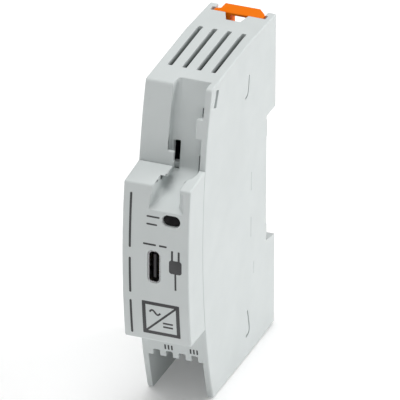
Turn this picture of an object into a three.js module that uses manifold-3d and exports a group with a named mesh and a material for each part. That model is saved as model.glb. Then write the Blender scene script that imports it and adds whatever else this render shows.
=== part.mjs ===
// DIN rail power supply, one module wide, with a USB-C output.
// Millimetres. X to the right, +Y to the rail behind, +Z up. Origin: centre of the bottom of the outer box.
import * as THREE from 'three';
import { mergeVertices } from 'three/addons/utils/BufferGeometryUtils.js';
import Module from 'manifold-3d';

const wasm = await Module();
wasm.setup();

// ---- driving dimensions -------------------------------------------------------------------------
const WIDTH = 18;
const HEIGHT = 90;
const DEPTH = 61;
const SIDE = WIDTH / 2;
const BACK = DEPTH / 2;
const WALL = 1.6; // shell thickness
const INNER = SIDE - WALL; // half width of the inside
const GAP = 0.15; // play between the cover and the base
const NOSE_STEP = 10; // how far the nose stands in front of the side walls
const ARC_R = 149; // radius of the curved front, seen from the side
const ARC_Z = 47.3; // height of the foremost point of that curve
const FRONT_STEPS = 14; // facets along the curved front

const TOP_FRONT_Z = 89.1;
const TOP_KINK_Y = 13.2;
const TOP_BACK_Z = 89.3;
const FOOT_KINK_Y = 18;
const FOOT_BACK_Z = 0.6;

const RAIL_SEAT_Y = 24.1; // back plane of the rail notch
const RAIL_TOP_Z = 63.1;
const RAIL_BOTTOM_Z = 27.3;
const RAIL_LIP_Z = 26.1;
const PAD_Y = 24.6; // the rail's flange rests on these two pads
const PADS = [[29, 32], [57.5, 61.9]];

const NOSE_BOTTOM_Z = 22.6;
const SHELF_FRONT_Z = 67.3;
const SHELF_BACK_Z = 68.3;
const CHANNEL_LEFT = -1.4;
const CHANNEL_RIGHT = 7.3;
const CHANNEL_DEPTH = 3.6;
const LUG_RIGHT = 0.3;
const LUG_TOP_Z = 71.9;
const LUG_FRONT_Y = -22.7;
const SCOOP_END_Z = 60.8;
const RAMP_BACK = [-20.6, 63.6]; // where the scoop's ramp starts to turn up into the channel
const TURN_Z = 66.9; // where that turn ends and the channel's upright floor begins

const CLIP = { left: 5.6, low: 76.2, high: 81.2, thick: 1.5 }; // cable clip on the right wall
const VENTS = { pitch: 3.9, y: 5, width: 1.2, length: 21.8 };
const PANEL_TOP_Z = 87.6;
const HOOKS = { heights: [28, 49.5], tall: 4 };

const PITCH = 3.45; // terminal pitch
const POLES = [-1.5, -0.5, 0.5, 1.5].map((n) => 0.08 + n * PITCH);
const POLE_L = POLES[1];
const POLE_N = POLES[3];
const TEETH = { low: 11.5, high: 13.35, notch: 1.85 };
const BAY_TOP_Z = 14.5; // ceiling of the open wiring bay
const BAY_BACK_Y = 8.5;

const USB = { x: -0.37, z: 44.9, width: 3.2, height: 9 };
const LED = { x: 4.1, z: 58.4, width: 4.8, height: 3.1 };

const LATCH_FRONT_Y = 26.6;
const LATCH_BACK_Y = 30.2;
const LATCH_PLAY = 0.25;
const EYE = { half: 2.1, low: 82.5, high: 88.6 };
const SPRING = { y: 28.4, low: 66.7, high: 76.8, radius: 1.3, wire: 0.25, turns: 6 };
const WINDOW = { half: 2.2, low: 66.4, high: 80 };
const KEY_SLOT = { front: 22.2, left: -1.55, right: 2.3, backLeft: -3.4, backRight: 2.95, low: 83 };
const CATCH = { half: 6, low: 61.4, high: 64.1, front: 25.8 }; // the latch's hook under the rail's upper edge

const BOARD = { left: -6.9, right: -5.4, front: -13.4, back: 20, low: 27.5, high: 84 };
const SOLDER = 0.1; // clearance under each component
const OUT_BOARD = { left: 1.35, right: 2.35, front: -28, back: -12.6, low: 34, high: 59.6 };

// ---- materials ----------------------------------------------------------------------------------
const standard = (settings) => new THREE.MeshStandardMaterial(settings);
const plastic = (color, roughness) => standard({ color, roughness, metalness: 0 });
const metal = (color, roughness) => standard({ color, roughness, metalness: 1 });
const LOOK = {
  housing: plastic(0xd4dbdb, 0.5),
  latch: plastic(0xf67c00, 0.45),
  black: plastic(0x17181a, 0.4),
  smoked: plastic(0x101214, 0.1),
  board: plastic(0x1f5a3a, 0.45),
  foil: plastic(0xcfc8a8, 0.4),
  tape: plastic(0xd9b23a, 0.5),
  ferrite: plastic(0x3a3c3f, 0.7),
  film: plastic(0xb9a24a, 0.5),
  ceramic: plastic(0x2c5fa8, 0.6),
  sleeve: plastic(0x22262e, 0.35),
  white: plastic(0xe8e8e4, 0.5),
  steel: metal(0xb8bcc0, 0.3),
  copper: metal(0xc9a36a, 0.35),
  aluminium: metal(0xc4c7ca, 0.4),
};

// ---- shape helpers ------------------------------------------------------------------------------
// Outlines are lists of [a, b] points. prismX takes [y, z], prismY takes [x, z], prismZ takes [x, y].
function extruded(outline, length, basis, offset) {
  const shape = new THREE.Shape(outline.map(([a, b]) => new THREE.Vector2(a, b)));
  const geometry = new THREE.ExtrudeGeometry(shape, { depth: length, bevelEnabled: false, steps: 1 });
  geometry.applyMatrix4(new THREE.Matrix4().makeBasis(...basis));
  return geometry.translate(...offset);
}

const AX = new THREE.Vector3(1, 0, 0);
const AY = new THREE.Vector3(0, 1, 0);
const AZ = new THREE.Vector3(0, 0, 1);
const AY_BACK = AY.clone().negate();
const prismX = (outline, x0, x1) => solid(extruded(outline, x1 - x0, [AY, AZ, AX], [x0, 0, 0]));
const prismY = (outline, y0, y1) => solid(extruded(outline, y1 - y0, [AX, AZ, AY_BACK], [0, y1, 0]));
const prismZ = (outline, z0, z1) => solid(extruded(outline, z1 - z0, [AX, AY, AZ], [0, 0, z0]));

function block(x0, x1, y0, y1, z0, z1) {
  const geometry = new THREE.BoxGeometry(x1 - x0, y1 - y0, z1 - z0);
  return solid(geometry.translate((x0 + x1) / 2, (y0 + y1) / 2, (z0 + z1) / 2));
}

function cylinder(axis, radius, from, to, a, b, sides = 24) {
  const geometry = new THREE.CylinderGeometry(radius, radius, to - from, sides);
  const middle = (from + to) / 2;
  if (axis === 'x') geometry.rotateZ(Math.PI / 2).translate(middle, a, b);
  if (axis === 'y') geometry.translate(a, middle, b);
  if (axis === 'z') geometry.rotateX(Math.PI / 2).translate(a, b, middle);
  return solid(geometry);
}

// An obround (two half circles joined by straight sides), centred on [a, b].
function obround(a, b, width, height, steps = 8) {
  const radius = Math.min(width, height) / 2;
  const reachA = width / 2 - radius;
  const reachB = height / 2 - radius;
  const points = [];
  const quarters = [[1, 1, 0], [-1, 1, 1], [-1, -1, 2], [1, -1, 3]];
  for (const [sideA, sideB, quarter] of quarters) {
    for (let i = 0; i <= steps; i += 1) {
      const angle = (quarter + i / steps) * (Math.PI / 2);
      points.push([
        a + sideA * reachA + radius * Math.cos(angle),
        b + sideB * reachB + radius * Math.sin(angle),
      ]);
    }
  }
  return points.filter((p, i) => {
    const next = points[(i + 1) % points.length];
    return Math.hypot(p[0] - next[0], p[1] - next[1]) > 1e-6;
  });
}

function solid(geometry) {
  geometry.deleteAttribute('normal');
  geometry.deleteAttribute('uv');
  const merged = mergeVertices(geometry, 1e-5);
  return new wasm.Manifold(new wasm.Mesh({
    numProp: 3,
    vertProperties: new Float32Array(merged.attributes.position.array),
    triVerts: new Uint32Array(merged.index.array),
  }));
}

const join = (first, ...rest) => rest.reduce((sum, piece) => sum.add(piece), first);
const cut = (first, ...rest) => rest.reduce((left, piece) => left.subtract(piece), first);

const model = new THREE.Group();

function node(name, shape, material) {
  const { vertProperties, triVerts } = shape.getMesh();
  const geometry = new THREE.BufferGeometry();
  geometry.setAttribute('position', new THREE.BufferAttribute(new Float32Array(vertProperties), 3));
  geometry.setIndex(new THREE.BufferAttribute(new Uint32Array(triVerts), 1));
  geometry.computeVertexNormals();
  const mesh = new THREE.Mesh(geometry, material);
  mesh.name = name;
  model.add(mesh);
}

// ---- the curved front ---------------------------------------------------------------------------
// step is how far in front of the side walls' edge the curve lies; behind it where negative.
function frontY(z, step = 0) {
  const foremost = -DEPTH / 2 + NOSE_STEP - step;
  return foremost + ARC_R - Math.sqrt(ARC_R ** 2 - (z - ARC_Z) ** 2);
}

function frontArc(z0, z1, step = 0) {
  const points = [];
  for (let i = 0; i <= FRONT_STEPS; i += 1) {
    const z = z0 + ((z1 - z0) * i) / FRONT_STEPS;
    points.push([frontY(z, step), z]);
  }
  return points;
}

// ---- housing base -------------------------------------------------------------------------------
function sideOutline() {
  return [
    [BACK, FOOT_BACK_Z],
    [BACK, RAIL_LIP_Z],
    [RAIL_SEAT_Y, RAIL_BOTTOM_Z],
    ...PADS.flatMap(([low, high]) => [
      [RAIL_SEAT_Y, low - 0.3], [PAD_Y, low], [PAD_Y, high], [RAIL_SEAT_Y, high + 0.3],
    ]),
    [RAIL_SEAT_Y, RAIL_TOP_Z],
    [BACK, RAIL_TOP_Z],
    [BACK, TOP_BACK_Z],
    [TOP_KINK_Y, HEIGHT],
    [frontY(TOP_FRONT_Z) + 0.6, TOP_FRONT_Z + 0.1],
    [frontY(TOP_FRONT_Z) + 0.15, TOP_FRONT_Z - 0.25],
    ...frontArc(TOP_FRONT_Z - 0.7, 0),
    [FOOT_KINK_Y, 0],
  ];
}

function insideOutline() {
  const ceiling = TOP_FRONT_Z - 1.3;
  const front = -40;
  return [
    [front, -5],
    [BAY_BACK_Y, -5],
    [BAY_BACK_Y, BAY_TOP_Z],
    [0.4, BAY_TOP_Z],
    [0.4, BAY_TOP_Z + WALL],
    [BAY_BACK_Y + WALL, BAY_TOP_Z + WALL],
    [BAY_BACK_Y + WALL, 2],
    [BACK - WALL, 2.4],
    [BACK - WALL, RAIL_LIP_Z - WALL],
    [RAIL_SEAT_Y - WALL, RAIL_BOTTOM_Z - WALL],
    [RAIL_SEAT_Y - WALL, RAIL_TOP_Z + WALL],
    [LATCH_FRONT_Y - LATCH_PLAY - WALL, RAIL_TOP_Z + 6],
    [LATCH_FRONT_Y - LATCH_PLAY - WALL, KEY_SLOT.low - WALL],
    [KEY_SLOT.front - WALL, KEY_SLOT.low - WALL],
    [KEY_SLOT.front - WALL, ceiling],
    [front, ceiling],
  ];
}

function ventSlots() {
  const slot = (x) => prismZ(obround(x, VENTS.y, VENTS.width, VENTS.length, 3), HEIGHT - 6, HEIGHT + 2);
  return [-1.5, -0.5, 0.5, 1.5].map((n) => slot(n * VENTS.pitch));
}

// The space the latch slides in, with a notch in front of it for a screwdriver.
function latchChamber() {
  const front = LATCH_FRONT_Y - LATCH_PLAY;
  const notch = [
    [KEY_SLOT.left, KEY_SLOT.front],
    [KEY_SLOT.right, KEY_SLOT.front],
    [KEY_SLOT.backRight, LATCH_FRONT_Y],
    [KEY_SLOT.backLeft, LATCH_FRONT_Y],
  ];
  return join(
    block(-6.75, 6.75, front, BACK + 1, RAIL_TOP_Z - 1, HEIGHT + 1),
    block(-7.5, 7.5, front, 28.3, 65.7, HEIGHT + 1),
    block(-6.75, 6.75, 25.4, front + 0.5, RAIL_TOP_Z - 1, 67.2),
    prismZ(notch, KEY_SLOT.low, HEIGHT + 1),
  );
}

function railHook() {
  const outline = [
    [25.9, RAIL_BOTTOM_Z - 1.5],
    [25.9, 28.2],
    [26.3, 28.8],
    [27.1, 28.8],
    [28.4, 27.2],
    [28.4, RAIL_LIP_Z - 0.5],
  ];
  return prismX(outline, -6, 6);
}

function springSeat() {
  return block(-1.8, 1.8, LATCH_FRONT_Y - LATCH_PLAY - 0.4, 29.8, SPRING.high + 0.1, 79.3);
}

// Two ribs on the left wall stop the main board from sliding back.
function boardRibs() {
  const rib = (z) => block(-INNER - 0.2, BOARD.left - 0.2, BOARD.back + 0.2, BOARD.back + 1.4, z, z + 3);
  return join(rib(38), rib(58));
}

function housingBase() {
  const shell = cut(
    prismX(sideOutline(), -SIDE, SIDE),
    prismX(insideOutline(), -INNER, INNER),
    block(CHANNEL_LEFT, INNER, -30, frontY(TOP_FRONT_Z) + CHANNEL_DEPTH, 80, HEIGHT + 2),
    ...ventSlots(),
    latchChamber(),
    hookPockets(),
  );
  const clip = prismX([
    ...frontArc(CLIP.low, CLIP.high),
    [frontY(CLIP.high) + CLIP.thick, CLIP.high],
    [frontY(CLIP.low) + CLIP.thick, CLIP.low],
  ], CLIP.left, INNER + 0.3);
  return join(shell, railHook(), springSeat(), boardRibs(), clip);
}

// ---- front cover --------------------------------------------------------------------------------
function noseBlock() {
  const outline = [
    ...frontArc(NOSE_BOTTOM_Z, SHELF_FRONT_Z - 0.4, NOSE_STEP),
    [frontY(SHELF_FRONT_Z, NOSE_STEP) + 0.4, SHELF_FRONT_Z],
    [frontY(SHELF_BACK_Z, GAP), SHELF_BACK_Z],
    ...frontArc(SHELF_BACK_Z - 0.3, NOSE_BOTTOM_Z - 0.3, GAP),
  ];
  return prismX(outline, -SIDE, SIDE);
}

// The part of the cover that goes in between the side walls, above and below the nose.
function coverCore() {
  const half = INNER - GAP;
  const outline = [
    ...frontArc(TEETH.low, PANEL_TOP_Z),
    [frontY(PANEL_TOP_Z) + 7, PANEL_TOP_Z],
    [-9.5, 62],
    [-17, 58],
    [frontY(24) + WALL, 24],
    [frontY(TEETH.low) + WALL, TEETH.low],
  ];
  const neck = [
    ...frontArc(NOSE_BOTTOM_Z, SHELF_BACK_Z - 0.5, 1),
    ...frontArc(SHELF_BACK_Z - 0.5, NOSE_BOTTOM_Z, -WALL),
  ];
  return join(prismX(outline, -half, half), prismX(neck, -half, half));
}

function coverHollows() {
  const nose = [
    ...frontArc(NOSE_BOTTOM_Z + WALL, 60, NOSE_STEP - WALL),
    [-20.3, 62.2],
    [-15.8, 63.4],
    [-13.6, 67],
    [-5, 67],
    [-5, NOSE_BOTTOM_Z + WALL],
  ];
  const shoulder = [
    ...frontArc(60, PANEL_TOP_Z - WALL, -WALL),
    [5, PANEL_TOP_Z - WALL],
    [5, 60],
  ];
  const behindChannel = [
    ...frontArc(60, PANEL_TOP_Z + 1, -CHANNEL_DEPTH - 1.4),
    [5, PANEL_TOP_Z + 1],
    [5, 59],
  ];
  const noseLeft = [
    ...frontArc(59, SHELF_FRONT_Z - WALL, NOSE_STEP - WALL),
    [-5, SHELF_FRONT_Z - WALL],
    [-5, 59],
  ];
  return join(
    prismX(nose, -INNER, INNER),
    prismX(shoulder, -INNER - 1, CHANNEL_LEFT - 1.2),
    prismX(behindChannel, CHANNEL_LEFT - 1.3, INNER + 1),
    prismX(noseLeft, -INNER, CHANNEL_LEFT - 1.4),
  );
}

// The cable channel in the shoulder, which turns forward into a scoop across the top of the nose.
function channelAndScoop() {
  const endY = frontY(SCOOP_END_Z, NOSE_STEP);
  const [rampY, rampZ] = RAMP_BACK;
  const slope = (rampZ - SCOOP_END_Z) / (rampY - endY);
  const turn = [];
  for (let i = 1; i < 5; i += 1) {
    const angle = (i / 5) * (Math.PI / 2);
    const floor = frontY(TURN_Z) + CHANNEL_DEPTH;
    turn.push([
      floor + (rampY - floor) * (1 - Math.cos(angle)),
      TURN_Z + (rampZ - TURN_Z) * Math.sin(angle),
    ]);
  }
  const outline = [
    [-40, HEIGHT + 3],
    ...frontArc(HEIGHT + 3, TURN_Z, -CHANNEL_DEPTH),
    ...turn,
    [rampY, rampZ],
    [-40, rampZ + slope * (-40 - rampY)],
  ];
  const lip = [
    [7.72, -19.05],
    [7.4, -20.3],
    [6.84, -23.5],
    [5.88, -23.8],
    [6.2, -25.4],
    [5.85, -28.3],
    [5.85, -40],
    [12, -40],
    [12, -19.05],
  ];
  const rightShelf = cut(
    prismZ(lip, 58, SHELF_BACK_Z + 0.02),
    block(5, INNER, -40, -28.2, 50, SHELF_FRONT_Z - 1),
  );
  const lug = join(
    block(CHANNEL_LEFT - 1, LUG_RIGHT, LUG_FRONT_Y, -15, 66.1, SHELF_BACK_Z + 0.4),
    prismX([
      ...frontArc(SHELF_BACK_Z, LUG_TOP_Z),
      [frontY(LUG_TOP_Z) + WALL, LUG_TOP_Z],
      [frontY(SHELF_BACK_Z) + WALL, SHELF_BACK_Z],
    ], CHANNEL_LEFT - 1, LUG_RIGHT),
  );
  return cut(prismX(outline, CHANNEL_LEFT, CHANNEL_RIGHT + 1), rightShelf, lug);
}

function cableSlot() {
  return block(-1.1, LUG_RIGHT + 0.3, -17.6, -5, 65.4, 73.3);
}

function teeth() {
  const notch = (x) => block(x - TEETH.notch / 2, x + TEETH.notch / 2, -40, -10, 5, TEETH.high);
  return join(...POLES.map(notch));
}

// Four arms along the side walls, each with a hook that sits in a pocket of the base.
function snapArms() {
  const right = [
    [6.2, -29],
    [7.15, -29],
    [7.15, -16.4],
    [7.75, -16],
    [7.75, -15.2],
    [7.15, -14.6],
    [6.2, -14.6],
  ];
  const left = right.map(([x, y]) => [-x, y]).reverse();
  const arms = HOOKS.heights.flatMap((z) => [
    prismZ(right, z, z + HOOKS.tall),
    prismZ(left, z, z + HOOKS.tall),
  ]);
  return join(...arms);
}

function hookPockets() {
  const pocket = (x0, x1, z) => block(x0, x1, -16.7, -14.3, z - 0.3, z + HOOKS.tall + 0.3);
  const pockets = HOOKS.heights.flatMap((z) => [pocket(INNER - 0.5, 8, z), pocket(-8, -INNER + 0.5, z)]);
  return join(...pockets);
}

function frontCover() {
  const body = cut(join(noseBlock(), coverCore()), coverHollows(), channelAndScoop(), cableSlot(), teeth());
  const holes = join(
    prismY(obround(USB.x, USB.z, USB.width + 0.3, USB.height + 0.3), -40, -25),
    prismY(obround(LED.x, LED.z, LED.width, LED.height), -40, -25),
  );
  return join(cut(body, holes), snapArms());
}

// ---- rail latch ---------------------------------------------------------------------------------
function baseLatch() {
  const plate = block(-6.5, 6.5, LATCH_FRONT_Y, LATCH_BACK_Y, 63.5, 88.4);
  const runners = block(-7.25, 7.25, LATCH_FRONT_Y, 28, 65.9, 87);
  const catchOutline = [
    [CATCH.front, CATCH.high],
    [CATCH.front, CATCH.low + 0.8],
    [CATCH.front + 0.5, CATCH.low],
    [CATCH.front + 1.6, CATCH.low],
    [LATCH_BACK_Y, CATCH.high - 0.2],
    [LATCH_BACK_Y, CATCH.high],
  ];
  const barOutline = [
    [-6.7, LATCH_FRONT_Y],
    [6.7, LATCH_FRONT_Y],
    [6.7, 27.7],
    [6.5, 28.5],
    [4.75, LATCH_BACK_Y],
    [-4.75, LATCH_BACK_Y],
    [-5.2, 28],
    [-6.5, 27.6],
    [-6.7, 27.2],
  ];
  const slope = [
    [20, 87],
    [35, 87],
    [35, 90.8],
    [LATCH_BACK_Y, 90],
    [LATCH_FRONT_Y, 89.3],
    [20, 88.1],
  ];
  const slopedTop = prismX(slope, -SIDE, SIDE);
  const bar = prismZ(barOutline, 87.5, HEIGHT + 1).intersect(slopedTop);
  const eye = block(-EYE.half, EYE.half, 20, 35, EYE.low, EYE.high);
  const window = block(-WINDOW.half, WINDOW.half, 20, 35, WINDOW.low, WINDOW.high);
  const rearCatch = prismX(catchOutline, -CATCH.half, CATCH.half);
  return cut(join(plate, runners, rearCatch, bar), eye, window);
}

class Helix extends THREE.Curve {
  constructor(radius, turns, x, y, low, high) {
    super();
    Object.assign(this, { radius, turns, x, y, low, high });
  }

  getPoint(t, target = new THREE.Vector3()) {
    const angle = t * this.turns * Math.PI * 2;
    return target.set(
      this.x + this.radius * Math.cos(angle),
      this.y + this.radius * Math.sin(angle),
      this.low + (this.high - this.low) * t,
    );
  }
}

function latchSpring() {
  const section = new THREE.Shape();
  section.absarc(0, 0, SPRING.wire, 0, Math.PI * 2);
  const path = new Helix(
    SPRING.radius, SPRING.turns, 0, SPRING.y, SPRING.low + SPRING.wire, SPRING.high - SPRING.wire,
  );
  const settings = { steps: SPRING.turns * 12, curveSegments: 3, bevelEnabled: false, extrudePath: path };
  return solid(new THREE.ExtrudeGeometry(section, settings));
}

// ---- display and output -------------------------------------------------------------------------
function ledLens() {
  const front = frontY(LED.z, NOSE_STEP) + 0.1;
  return join(
    prismY(obround(LED.x, LED.z, LED.width - 0.3, LED.height - 0.3), front, -26.4),
    block(LED.x - 1.2, LED.x + 1.2, -27, -25.4, LED.z - 1.2, LED.z + 1.2),
  );
}

function usbShell() {
  const front = frontY(USB.z, NOSE_STEP) + 0.15;
  return cut(
    prismY(obround(USB.x, USB.z, USB.width, USB.height), front, -23),
    prismY(obround(USB.x, USB.z, USB.width - 0.6, USB.height - 0.6), -40, -20),
  );
}

function usbTongue() {
  return join(
    block(USB.x - 0.35, USB.x + 0.35, -29.6, -24, USB.z - 3.3, USB.z + 3.3),
    prismY(obround(USB.x, USB.z, USB.width - 0.8, USB.height - 0.8, 4), -24.4, -23),
  );
}

function outputBoard() {
  const { left, right, front, back, low, high } = OUT_BOARD;
  const ledCorner = block(left - 1, right + 1, front - 1, -25.2, 56, high + 1);
  return cut(block(left, right, front, back, low, high), ledCorner);
}

// ---- mains side ---------------------------------------------------------------------------------
function onBoard(height, y0, y1, z0, z1) {
  const foot = BOARD.right + SOLDER;
  return block(foot, foot + height, y0, y1, z0, z1);
}

function chip(height, y0, y1, z0, z1) {
  const body = onBoard(height, y0 + 0.9, y1 - 0.9, z0, z1);
  const legs = [];
  const count = Math.max(2, Math.round((z1 - z0) / 1.27));
  for (let i = 0; i < count; i += 1) {
    const z = z0 + ((i + 0.5) * (z1 - z0)) / count;
    legs.push(onBoard(0.25, y0, y1, z - 0.22, z + 0.22));
  }
  return join(body, ...legs);
}

function canCapacitor(axis, radius, from, to, a, b) {
  const groove = axis === 'x' ? from + 1.6 : to - 1.8;
  return join(
    cylinder(axis, radius, from, groove, a, b),
    cylinder(axis, radius - 0.35, groove - 0.1, groove + 0.7, a, b),
    cylinder(axis, radius, groove + 0.6, to, a, b),
  );
}

function transformerCore() {
  const frame = cut(block(-5.1, 7, 2, 10, 61.6, 80.6), block(-2.9, 4.8, 1, 11, 64.6, 77.6));
  return join(frame, block(-0.6, 2.5, 2.6, 9.4, 64, 78));
}

function transformerBobbin() {
  const tube = block(-1.5, 3.4, 1.7, 10.3, 64.8, 77.4);
  const flange = (z) => block(-2.7, 4.6, -1.2, 13.2, z, z + 0.8);
  const bore = block(-0.8, 2.7, 2.4, 9.6, 60, 82);
  return cut(join(tube, flange(64.8), flange(76.6)), bore);
}

function transformerWinding() {
  const outline = [
    [-2.4, 0.2], [-1.4, -0.8], [3.3, -0.8], [4.3, 0.2], [4.3, 11.8], [3.3, 12.8], [-1.4, 12.8], [-2.4, 11.8],
  ];
  return cut(prismZ(outline, 65.8, 76.4), block(-1.7, 3.6, 1.5, 10.5, 60, 82));
}

function chokeCore() {
  return cut(block(-3.4, 5.8, 4.6, 7.4, 28.6, 42), block(-1.4, 3.8, 4, 8, 31, 39.6));
}

function chokeWinding(x) {
  return cut(cylinder('z', 2.3, 31.3, 39.3, x, 6, 16), block(x - 1.2, x + 1.2, 4.4, 7.6, 30, 41));
}

function radialDisc(y, z, radius, thickness) {
  const x = BOARD.right + SOLDER + radius + 0.5;
  const lead = (at) => block(-5.3, x, at - 0.3, at + 0.3, z - 0.3, z + 0.3);
  const leads = [lead(y - 2), lead(y + 2)];
  return join(cylinder('z', radius, z - thickness / 2, z + thickness / 2, x, y), ...leads);
}

function transistor() {
  const body = block(-1.2, 6.2, 15.6, 18.2, 65, 75);
  const legs = [67.5, 70, 72.5].map((z) => block(-5.3, -1, 17, 17.6, z - 0.35, z + 0.35));
  return join(body, ...legs);
}

function heatSink() {
  const fins = [63, 69.5, 76].map((z) => block(-4.9, 6.8, 19.4, 20.4, z, z + 1.4));
  return join(block(-4.9, 6.8, 18.4, 19.5, 61.5, 79), ...fins);
}

// ---- mains terminals ----------------------------------------------------------------------------
function terminalHousing() {
  const body = block(-INNER + 0.3, INNER - 0.3, -14.6, 0.1, BAY_TOP_Z + 0.2, 26);
  const cavities = POLES.flatMap((x) => [
    prismZ(obround(x, -10.6, 2.6, 2.6, 5), 10, 18),
    block(x - 0.75, x + 0.75, -7.6, -5.2, 10, 18),
  ]);
  const pockets = [POLE_L, POLE_N].flatMap((x) => [
    block(x - 1.25, x + 1.25, -13.6, -3.6, 17.6, 30),
    block(x - 1.15, x + 1.15, -7.7, -5.1, 10, 18),
  ]);
  const frontEdge = prismX([[-16, 13], [-12, 13], [-16, 17]], -9, 9);
  return cut(body, ...cavities, ...pockets, frontEdge);
}

function clampSpring(x) {
  const outline = [
    [-12, 24.2], [-6, 25.1], [-4.6, 24.2], [-5, 22.2], [-11.4, 19.9], [-11.5, 20.3], [-5.5, 22.4], [-5.1, 24],
    [-6.1, 24.7], [-12, 23.8],
  ];
  return prismX(outline, x - 0.9, x + 0.9);
}

// Each bar stands in its pocket, rises over the block and runs across to the main board.
function currentBar(x, top) {
  return join(
    block(x - 0.9, x + 0.9, -13.2, -12.6, 18, top),
    block(BOARD.right + SOLDER, x + 0.9, -13.2, -12.6, top - 1.5, top),
  );
}

function releasePusher(x) {
  return join(
    block(x - 0.95, x + 0.95, -7.5, -5.3, 15.3, 18.3),
    block(x - 0.7, x + 0.7, -7.2, -5.6, 18.2, 20.4),
  );
}

// ---- assembly -----------------------------------------------------------------------------------
node('housing_base', housingBase(), LOOK.housing);
node('front_cover', frontCover(), LOOK.housing);
node('base_latch', baseLatch(), LOOK.latch);
node('latch_spring', latchSpring(), LOOK.steel);

node('led_lens', ledLens(), LOOK.smoked);
node('status_led', cylinder('y', 1.4, -25.2, -21, LED.x, LED.z, 16), LOOK.white);
node('usb_shell', usbShell(), LOOK.steel);
node('usb_tongue', usbTongue(), LOOK.black);
node('output_board', outputBoard(), LOOK.board);
node('output_controller', block(2.45, 3.5, -22, -17, 45, 50), LOOK.black);
node('output_inductor', block(2.45, 6.4, -24, -17.2, 36, 42.6), LOOK.ferrite);
node('board_link_header', block(-5.3, 1.25, -15.4, -13.6, 46, 54), LOOK.black);

const boardSheet = (x0, x1) => block(x0, x1, BOARD.front, BOARD.back, BOARD.low, BOARD.high);
node('main_board', boardSheet(BOARD.left, BOARD.right), LOOK.board);
node('insulation_foil', boardSheet(-7.3, -7.1), LOOK.foil);
node('transformer_core', transformerCore(), LOOK.ferrite);
node('transformer_bobbin', transformerBobbin(), LOOK.black);
node('transformer_winding', transformerWinding(), LOOK.tape);
node('bulk_capacitor_1', canCapacitor('z', 5, 44, 59.5, 0.1, -6.8), LOOK.sleeve);
node('bulk_capacitor_2', canCapacitor('z', 5, 44, 59.5, 0.1, 4), LOOK.sleeve);
node('output_capacitor_1', canCapacitor('x', 3.15, -5.2, 5, -6.4, 64.8), LOOK.sleeve);
node('output_capacitor_2', canCapacitor('x', 3.15, -5.2, 5, -6.4, 72.4), LOOK.sleeve);
node('x_capacitor', onBoard(11, 10.4, 15.4, 28.8, 42), LOOK.film);
node('y_capacitor', radialDisc(17.6, 54.5, 3.2, 2.6), LOOK.ceramic);
node('choke_core', chokeCore(), LOOK.ferrite);
node('choke_winding_1', chokeWinding(-2.4), LOOK.copper);
node('choke_winding_2', chokeWinding(4.8), LOOK.copper);
node('fuse', onBoard(8, -10.8, -6.8, 34.6, 43), LOOK.black);
node('varistor', radialDisc(-1.2, 36.5, 3.4, 4), LOOK.ceramic);
node('bridge_rectifier', chip(3, 10.4, 19.2, 43.6, 50), LOOK.black);
node('pwm_controller', chip(1.5, -4, 2, 28.4, 33.2), LOOK.black);
node('optocoupler', chip(3.4, -11.6, -3, 76, 80.6), LOOK.black);
node('switching_transistor', transistor(), LOOK.black);
node('heat_sink', heatSink(), LOOK.aluminium);

node('terminal_housing', terminalHousing(), LOOK.housing);
for (const [letter, x, barTop] of [['l', POLE_L, 29.2], ['n', POLE_N, 33]]) {
  node(`clamp_spring_${letter}`, clampSpring(x), LOOK.steel);
  node(`current_bar_${letter}`, currentBar(x, barTop), LOOK.copper);
  node(`release_pusher_${letter}`, releasePusher(x), LOOK.latch);
}

export default model;
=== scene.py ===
"""DIN rail power supply, one module wide.

Finely modelled shells, latch, socket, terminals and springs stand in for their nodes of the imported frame.
"""
import math

import bmesh
import bpy
from mathutils import Matrix, Vector


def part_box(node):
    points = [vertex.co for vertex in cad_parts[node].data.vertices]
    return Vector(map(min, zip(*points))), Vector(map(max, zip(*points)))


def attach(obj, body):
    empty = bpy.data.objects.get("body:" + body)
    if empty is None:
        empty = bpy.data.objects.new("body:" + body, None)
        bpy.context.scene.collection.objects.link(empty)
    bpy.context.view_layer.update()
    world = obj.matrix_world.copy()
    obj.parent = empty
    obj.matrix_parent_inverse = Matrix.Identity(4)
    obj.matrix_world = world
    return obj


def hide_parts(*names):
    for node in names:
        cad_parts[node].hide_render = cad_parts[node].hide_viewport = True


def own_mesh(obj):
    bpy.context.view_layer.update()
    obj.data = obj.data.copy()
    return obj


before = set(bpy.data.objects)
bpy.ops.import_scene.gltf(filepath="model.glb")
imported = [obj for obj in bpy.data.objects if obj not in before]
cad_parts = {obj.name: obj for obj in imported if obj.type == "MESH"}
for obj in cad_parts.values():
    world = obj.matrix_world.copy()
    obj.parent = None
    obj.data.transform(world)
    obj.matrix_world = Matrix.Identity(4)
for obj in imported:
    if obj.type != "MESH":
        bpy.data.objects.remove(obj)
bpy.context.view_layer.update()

# ---- sizes, in millimetres -----------------------------------------------------------------------
MM = 0.001


def box_mm(node):
    """The lowest and highest corner of a CAD node, in millimetres."""
    low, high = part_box(node)
    return Vector(low) / MM, Vector(high) / MM


BASE_LOW, BASE_HIGH = box_mm("housing_base")
COVER_LOW, COVER_HIGH = box_mm("front_cover")
SIDE = BASE_HIGH.x
BACK = BASE_HIGH.y
HEIGHT = BASE_HIGH.z
FRONT = COVER_LOW.y
NOSE_STEP = BASE_LOW.y - FRONT
WALL = 1.6
INNER = SIDE - WALL
GAP = 0.01  # play between the cover and the base
APART = 0.003  # keeps the faces of two cutting tools out of one plane
SEAM = 0.19  # the open joint behind the nose
ARC_R = 149.0  # radius of the curved front, seen from the side
ARC_Z = 47.3  # height of its foremost point

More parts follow.
